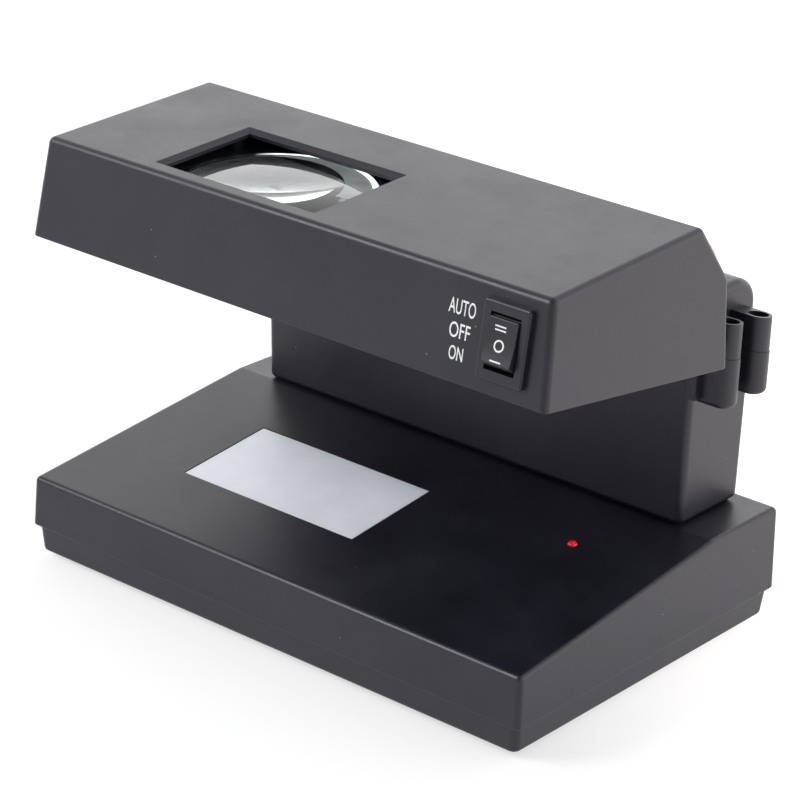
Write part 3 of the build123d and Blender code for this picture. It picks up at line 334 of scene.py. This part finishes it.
def print_ink():
    """White pad-printed ink with a thin, slightly broken edge."""
    g = Graph("white_ink")
    thin = g.noise(0.35, detail=4, seed=4)
    g.set(Base_Color=g.mix(g.remap(thin, 0.3, 0.72, 0.0, 1.0), (0.86, 0.87, 0.88), (0.62, 0.63, 0.65)))
    g.set(Roughness=g.remap(thin, 0.3, 0.7, 0.42, 0.6), Normal=g.bump(thin, 0.004))
    return g.material


lens_low, lens_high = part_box("magnifier_lens")
LENS_RADIUS = (lens_high.x - lens_low.x) / 2
LENS_MIDDLE = Vector((
    (lens_high.x + lens_low.x) / 2,
    lens_high.y - LENS_RADIUS,      # from its rear edge, because its front is cut flat
    (lens_high.z + lens_low.z) / 2,
))
# the bevel's painted glow rises over this span from the lens's middle and has this strength
BEVEL_PAINTED_GLOW_FROM = (-7.0 * MM, -1.0 * MM)   # from the lens's middle, towards the rear right
BEVEL_PAINTED_GLOW = 1.5
# strength of the painted glow of the crescent that stands for a glint in the lens
GLINT_PAINTED_GLOW = 0.14

BLACK = (0.0066, 0.0066, 0.0120)
FINE_GRAIN = 0.006                  # depth of the grain on nearly polished mouldings, in millimetres
housing_plastic = moulded_plastic("housing_plastic", BLACK, 0.40, dust=0.8)
base_plastic = moulded_plastic("base_plastic", BLACK, 0.38, dust=1.0, seed=3.0)
tray_plastic = moulded_plastic("tray_plastic", BLACK, 0.42, seed=7.0)
cover_plastic = moulded_plastic("cover_plastic", (0.0055, 0.0055, 0.0095), 0.46, seed=11.0)
nylon = moulded_plastic("black_nylon", (0.0055, 0.0055, 0.0065), 0.5, grain_mm=0.5, seed=13.0)
switch_plastic = moulded_plastic(
    "switch_plastic", (0.0064, 0.0062, 0.0110), 0.36, grain_depth=FINE_GRAIN, seed=17.0)
key_plastic = moulded_plastic(
    "key_plastic", (0.0074, 0.0072, 0.0115), 0.40, grain_depth=FINE_GRAIN, seed=19.0)
component_plastic = moulded_plastic("component_plastic", (0.015, 0.015, 0.018), 0.45, seed=23.0)
white_plastic = moulded_plastic(
    "white_plastic", (0.52, 0.52, 0.50), 0.35, grain_depth=FINE_GRAIN, seed=29.0)
ferrite = moulded_plastic(
    "ferrite", (0.05, 0.05, 0.055), 0.55, grain_mm=0.6, grain_depth=0.03, seed=31.0)
screw_steel = metal("screw_steel", (0.55, 0.55, 0.57), 0.28)
spring_steel = metal("spring_steel", (0.5, 0.5, 0.52), 0.25)
contact_metal = metal("contact_metal", (0.78, 0.70, 0.45), 0.25)
aluminium = metal("dull_aluminium", (0.78, 0.79, 0.80), 0.36, brush=(0.15, 1, 1))
reflector_metal = metal("reflector_metal", (0.88, 0.89, 0.90), 0.14, brush=(0.05, 1, 1))
sensor_metal = metal("sensor_metal", (0.62, 0.62, 0.64), 0.3, brush=(1, 1, 0.2))
foot_rubber = rubber()
diffuser_acrylic = milky_acrylic()
red_resin = lit_red_resin()
phosphor = moulded_plastic(
    "led_phosphor", (0.62, 0.56, 0.30), 0.2, grain_depth=0.004, seed=37.0)
lens_glass = glass("lens_glass", (0.92, 0.995, 0.985), smear=0.0)
holder_plastic = moulded_plastic("holder_plastic", (0.022, 0.022, 0.030), 0.42, seed=41.0)
tube_glass = glass("tube_glass", (0.035, 0.02, 0.09), smear=0.08, transmission=0.3)
bevel_painted_glow_glass = bevel_glass_painted_glow()
glint_painted_glass = glint_glass_painted_glow()
ink = print_ink()
board_material = circuit_board()
copper = winding()

NODE_MATERIALS = {
    "base_top_shell": base_plastic, "base_bottom_tray": tray_plastic, "column": housing_plastic,
    "upper_housing": housing_plastic, "head_bottom_cover": cover_plastic, "rubber_feet": foot_rubber,
    "watermark_diffuser": diffuser_acrylic, "light_box": white_plastic, "lamp_holders": white_plastic,
    "indicator_led": red_resin, "indicator_led_holder": nylon, "power_inlet": nylon,
    "lens_holder": holder_plastic, "magnifier_lens": lens_glass,
    "uv_tube": tube_glass, "uv_tube_caps": aluminium,
    "uv_tube_pins": contact_metal, "inlet_pins": contact_metal, "lamp_reflector": reflector_metal,
    "rocker_switch_body": switch_plastic, "rocker": key_plastic, "rocker_plunger": contact_metal,
    "rocker_spring": spring_steel, "contact_rocker": contact_metal, "switch_terminals": contact_metal,
    "magnetic_head": sensor_metal, "magnetic_head_bracket": aluminium, "control_board": board_material,
    "ballast_board": board_material, "watermark_led_board": board_material, "watermark_leds": phosphor,
    "transformer_core": ferrite, "ballast_transformer": ferrite, "transformer_bobbin": copper,
    "control_board_parts": component_plastic, "ballast_parts": component_plastic, "buzzer": component_plastic,
}
# every node that isn't named above is a set of screws
for node_name, node_object in frame["nodes"].items():
    material = NODE_MATERIALS.get(node_name, screw_steel)
    node_object.data.materials.clear()
    node_object.data.materials.append(material)


# ------------------------------------------------------------ mesh helpers
def new_piece(name, mesh, material, body):
    piece = bpy.data.objects.new(name, mesh)
    scene.collection.objects.link(piece)
    mesh.materials.clear()
    mesh.materials.append(material)
    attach(piece, body)
    return piece


def mesh_from(bm, name, smooth=False):
    bmesh.ops.recalc_face_normals(bm, faces=bm.faces)
    mesh = bpy.data.meshes.new(name)
    bm.to_mesh(mesh)
    bm.free()
    for polygon in mesh.polygons:
        polygon.use_smooth = smooth
    return mesh


def join_rows(bm, a, b):
    """Band of faces between two closed rows of vertices."""
    count = len(a)
    for i in range(count):
        j = (i + 1) % count
        bm.faces.new((a[i], a[j], b[j], b[i]))


def capped_tube(bm, rows):
    """Bands between closed rows that follow each other, with a face on each end."""
    for a, b in zip(rows, rows[1:]):
        join_rows(bm, a, b)
    bm.faces.new(rows[0])
    bm.faces.new(rows[-1])


# ------------------------------------------------------------ marks on the key
KEY_REST = math.radians(-7.0)       # the key is modelled with its upper end pressed in
KEY_FACE = 3.3 * MM                 # the upright key's face above the head's face
KEY_HOLLOW_R = 40.0 * MM
KEY_HOLLOW = 0.4 * MM
INK_THICK = 0.03 * MM
BAR_LENGTH = 3.45 * MM
BAR_WIDTH = 0.40 * MM
BARS = ((-0.65, 4.02), (-0.55, 3.02), (-0.1, -5.10))   # middles, in millimetres
RING_AT = (-0.13 * MM, -1.0 * MM)
RING_RADII = (1.15 * MM, 1.60 * MM)
RING_STRETCH = 1.02                 # height of the ring over its width
RING_STEPS = 48


def key_face(y):
    """Height of the key's hollowed face above the head's face."""
    return KEY_FACE - KEY_HOLLOW + KEY_HOLLOW_R - math.sqrt(KEY_HOLLOW_R ** 2 - y ** 2)


def on_key(x, y, lift):
    """Point on the key's face, in the switch frame with the key tilted as it rests."""
    upright = Vector((x, y, key_face(y) + lift + PIVOT_DEPTH))
    return Matrix.Rotation(KEY_REST, 3, "X") @ upright - Vector((0, 0, PIVOT_DEPTH))


def make_key_marks():
    bm = bmesh.new()
    half_l, half_w = BAR_LENGTH / 2, BAR_WIDTH / 2
    for bar_x, bar_y in BARS:
        corners = [(-half_l, -half_w), (half_l, -half_w), (half_l, half_w), (-half_l, half_w)]
        capped_tube(bm, [
            [bm.verts.new(on_key(bar_x * MM + x, bar_y * MM + y, lift)) for x, y in corners]
            for lift in (-INK_THICK, INK_THICK)
        ])
    rings = []
    for radius in RING_RADII:
        for lift in (-INK_THICK, INK_THICK):
            ring = []
            for i in range(RING_STEPS):
                angle = 2 * math.pi * i / RING_STEPS
                x = RING_AT[0] + radius * math.cos(angle)
                y = RING_AT[1] + radius * math.sin(angle) * RING_STRETCH
                ring.append(bm.verts.new(on_key(x, y, lift)))
            rings.append(ring)
    inner_low, inner_high, outer_low, outer_high = rings
    around = (inner_low, outer_low, outer_high, inner_high, inner_low)
    for a, b in zip(around, around[1:]):
        join_rows(bm, a, b)
    mesh = mesh_from(bm, "rocker_marks")
    mesh.transform(face_matrix())
    return new_piece("rocker_marks", mesh, ink, "rocker")


# ------------------------------------------------------------ labels beside the switch
# word, left edge and base line from the middle of the switch, width and height, in millimetres
LABELS = (
    ("AUTO", -19.55, 3.30, 8.7, 4.1),
    ("OFF", -18.45, -2.95, 6.7, 4.1),
    ("ON", -17.65, -8.80, 4.6, 3.75),
)
LETTER_WEIGHT = 0.004               # thickens the strokes, as a part of the letters' size
WELD = 1e-7                         # points of the letters nearer than this become one


def label_mesh(word, left, base, width, height):
    """Capitals of one word, fitted to a width and a height, as thin raised ink."""
    curve = bpy.data.curves.new("letters", "FONT")
    curve.body = word
    curve.size = 1.0
    curve.offset = LETTER_WEIGHT
    curve.extrude = 0.5
    temporary = bpy.data.objects.new("letters", curve)
    scene.collection.objects.link(temporary)
    bpy.context.view_layer.update()
    graph = bpy.context.evaluated_depsgraph_get()
    mesh = bpy.data.meshes.new_from_object(temporary.evaluated_get(graph))
    bpy.data.objects.remove(temporary)
    xs = [v.co.x for v in mesh.vertices]
    ys = [v.co.y for v in mesh.vertices]
    fit_x = width * MM / (max(xs) - min(xs))
    fit_y = height * MM / (max(ys) - min(ys))
    for v in mesh.vertices:
        x = left * MM + (v.co.x - min(xs)) * fit_x
        y = base * MM + (v.co.y - min(ys)) * fit_y
        v.co = Vector((x, y, v.co.z * 2 * INK_THICK))
    return mesh


def make_labels():
    bm = bmesh.new()
    for label in LABELS:
        bm.from_mesh(label_mesh(*label))
    bmesh.ops.remove_doubles(bm, verts=bm.verts, dist=WELD)
    mesh = mesh_from(bm, "switch_labels")
    mesh.transform(face_matrix())
    return new_piece("switch_labels", mesh, ink, "housing")


# ------------------------------------------------------------ polished bevel of the lens, with a painted glow, and a painted glint
BEVEL_INSET = 1.15 * MM             # middle of the bevel inside the lens's edge
BEVEL_HALF_WIDTH = 0.95 * MM
BEVEL_HALF_HEIGHT = 0.62 * MM
BEVEL_HEIGHT = 0.62 * MM            # middle of the bevel above the lens's middle
LENS_CHORD = 18.0 * MM              # the bevel ends where the lens is cut flat
BEVEL_STEPS, BEVEL_SIDES = 128, 12
HEAD_TOP_RISE = math.atan2(3.0, 66.0)   # the lens is parallel to the head's top, which rises by 3 over 66
LENS_TILT = Matrix.Rotation(HEAD_TOP_RISE, 3, "X")


def on_lens(radius, angle, height):
    """Point in the lens's own tilted plane, from its middle."""
    flat = Vector((radius * math.cos(angle), radius * math.sin(angle), height))
    return LENS_MIDDLE + LENS_TILT @ flat


def make_lens_bevel():
    """Rounded bevel round the lens's upper edge, open at the lens's flat front, brightened by a painted glow.
    """
    radius = LENS_RADIUS - BEVEL_INSET
    chord = math.asin(LENS_CHORD / radius)
    bm = bmesh.new()
    rows = []
    for i in range(BEVEL_STEPS + 1):
        angle = -chord + (math.pi + 2 * chord) * i / BEVEL_STEPS
        row = []
        for k in range(BEVEL_SIDES):
            turn = 2 * math.pi * k / BEVEL_SIDES
            r = radius + BEVEL_HALF_WIDTH * math.cos(turn)
            h = BEVEL_HEIGHT + BEVEL_HALF_HEIGHT * math.sin(turn)
            row.append(bm.verts.new(on_lens(r, angle, h)))
        rows.append(row)
    capped_tube(bm, rows)
    mesh = mesh_from(bm, "lens_bevel", smooth=True)
    return new_piece("lens_bevel", mesh, bevel_painted_glow_glass, "housing")


FACET_OUTER = LENS_RADIUS - 2.2 * MM
FACET_WIDTH = (0.8 * MM, 9.5 * MM)  # it widens from the rear to the right
FACET_ANGLES = (math.radians(132.0), math.radians(22.0))
FACET_HEIGHTS = (-1.1 * MM, -0.95 * MM)
FACET_SPREAD = 0.8                  # below 1, it widens early
FACET_STEPS = 64


def make_lens_painted_glint():
    """Grey crescent on the lens's rear right, just inside the bevel: a painted glint that stands for light
    seen in the lens.
    """
    low, high = FACET_HEIGHTS
    bm = bmesh.new()
    rows = []
    for i in range(FACET_STEPS + 1):
        part = i / FACET_STEPS
        angle = FACET_ANGLES[0] + (FACET_ANGLES[1] - FACET_ANGLES[0]) * part
        width = FACET_WIDTH[0] + (FACET_WIDTH[1] - FACET_WIDTH[0]) * part ** FACET_SPREAD
        inner = FACET_OUTER - width
        section = ((FACET_OUTER, high), (inner, high), (inner, low), (FACET_OUTER, low))
        rows.append([bm.verts.new(on_lens(r, angle, h)) for r, h in section])
    capped_tube(bm, rows)
    mesh = mesh_from(bm, "lens_painted_glint")
    return new_piece("lens_painted_glint", mesh, glint_painted_glass, "housing")


make_key_marks()
make_labels()
make_lens_bevel()
make_lens_painted_glint()


# ------------------------------------------------------------ floor, light and camera
FLOOR_HALF = 6.0
FLOOR_ALBEDO = 0.42
FLOOR_GLOW = 0.60                   # the floor is a sheet lit from below, as on a light table
GLOW_REAR_RIGHT = 0.60              # it is brighter behind the object on the right
WARM_GLOW = (1.0, 0.93, 0.905)      # and slightly warm there
GLOW_AT_CAMERA = -0.42              # and fades towards the front right, the unlit end of the studio
REAR_FROM = (0.02, 0.20)            # metres from the object's middle, for the first and the last change
NEAR_FROM = (0.20, 0.38)
STUDIO_DEPTH = (-0.45, 0.25)        # direction's Y, from the front of the studio to its back
STUDIO_STRENGTH = (0.75, 2.36)
HORIZON_COLOUR = (1.0, 1.0, 1.0, 1.0)
CEILING_COLOUR = (0.30, 0.30, 0.31, 1.0)
STUDIO_LEVELS = ((0.40, 0.95), (0.62, 0.50))   # direction's Z and grey between horizon and ceiling
SOFTBOX_AT = (-0.62, -0.82, 0.78)
SOFTBOX_TARGET = (0, 0, 0.1)
SOFTBOX_SIZE = (0.46, 0.50)
SOFTBOX_WATTS = 9.0


def floor_glow(g):
    """Strength of the floor's glow, and how far to the rear right a point lies, from 0 to 1."""
    split = g.add("ShaderNodeSeparateXYZ")
    g.link(g.place, split.inputs["Vector"])
    x, y = split.outputs["X"], split.outputs["Y"]
    sine, cosine = math.sin(AZIMUTH), math.cos(AZIMUTH)
    rearward = g.math("ADD", g.math("MULTIPLY", x, sine), g.math("MULTIPLY", y, cosine))
    nearer = g.math("SUBTRACT", g.math("MULTIPLY", x, sine), g.math("MULTIPLY", y, cosine))
    rear = g.remap(rearward, *REAR_FROM, 0.0, 1.0)
    more = g.math("MULTIPLY", rear, GLOW_REAR_RIGHT)
    less = g.remap(nearer, *NEAR_FROM, 0.0, GLOW_AT_CAMERA)
    return g.math("ADD", g.math("ADD", more, less), FLOOR_GLOW), rear


def make_floor():
    bm = bmesh.new()
    bmesh.ops.create_grid(bm, x_segments=8, y_segments=8, size=FLOOR_HALF)
    floor = bpy.data.objects.new("floor", mesh_from(bm, "floor"))
    scene.collection.objects.link(floor)
    g = Graph("floor_sheet")
    soft = g.remap(g.noise(400, detail=1), 0.3, 0.7, 0.0, 1.0)
    low, high = FLOOR_ALBEDO, FLOOR_ALBEDO + 0.01
    g.set(Base_Color=g.mix(soft, (low, low, low), (high, high, high)))
    strength, rear = floor_glow(g)
    g.set(Emission_Strength=strength, Emission_Color=g.mix(rear, (1.0, 1.0, 1.0), WARM_GLOW))
    g.shader.inputs["Roughness"].default_value = 0.9
    g.shader.inputs["Specular IOR Level"].default_value = 0.2
    floor.data.materials.append(g.material)


def make_world():
    """Cyclorama: brightest near the horizon at the back, dim overhead and in front."""
    world = bpy.data.worlds.new("studio")
    scene.world = world
    world.use_nodes = True
    tree = world.node_tree
    place = tree.nodes.new("ShaderNodeTexCoord")
    split = tree.nodes.new("ShaderNodeSeparateXYZ")
    ramp = tree.nodes.new("ShaderNodeValToRGB")
    depth = tree.nodes.new("ShaderNodeMapRange")
    background = tree.nodes["Background"]
    tree.links.new(place.outputs["Generated"], split.inputs["Vector"])
    tree.links.new(split.outputs["Z"], ramp.inputs["Fac"])
    tree.links.new(split.outputs["Y"], depth.inputs["Value"])
    tree.links.new(ramp.outputs["Color"], background.inputs["Color"])
    tree.links.new(depth.outputs["Result"], background.inputs["Strength"])
    depth.inputs["From Min"].default_value, depth.inputs["From Max"].default_value = STUDIO_DEPTH
    depth.inputs["To Min"].default_value, depth.inputs["To Max"].default_value = STUDIO_STRENGTH
    stops = ramp.color_ramp.elements
    stops[0].position, stops[0].color = 0.0, HORIZON_COLOUR
    stops[1].position, stops[1].color = 1.0, CEILING_COLOUR
    for position, level in STUDIO_LEVELS:
        stop = stops.new(position)
        stop.color = (level, level, level, 1.0)


def area_light(name, at, target, size, power):
    data = bpy.data.lights.new(name, "AREA")
    data.shape = "RECTANGLE"
    data.size, data.size_y = size
    data.energy = power
    light = bpy.data.objects.new(name, data)
    light.location = at
    light.rotation_euler = (Vector(target) - Vector(at)).to_track_quat("-Z", "Y").to_euler()
    scene.collection.objects.link(light)


def make_camera():
    back = Vector((
        math.sin(AZIMUTH) * math.cos(ELEVATION),
        -math.cos(AZIMUTH) * math.cos(ELEVATION),
        math.sin(ELEVATION),
    ))
    right = Vector((0, 0, 1)).cross(back).normalized()
    up = back.cross(right)
    rolled_right = right * math.cos(ROLL) + up * math.sin(ROLL)
    rolled_up = up * math.cos(ROLL) - right * math.sin(ROLL)
    data = bpy.data.cameras.new("camera")
    data.lens = LENS_MM
    data.sensor_width = SENSOR_MM
    data.clip_start = NEAREST_SEEN
    camera = bpy.data.objects.new("camera", data)
    turn = Matrix((rolled_right, rolled_up, back)).transposed().to_4x4()
    camera.matrix_world = Matrix.Translation(AIM + back * DISTANCE) @ turn
    scene.collection.objects.link(camera)
    scene.camera = camera


make_floor()
make_world()
area_light("front_softbox", SOFTBOX_AT, SOFTBOX_TARGET, SOFTBOX_SIZE, SOFTBOX_WATTS)
make_camera()
scene.view_settings.view_transform = "Standard"
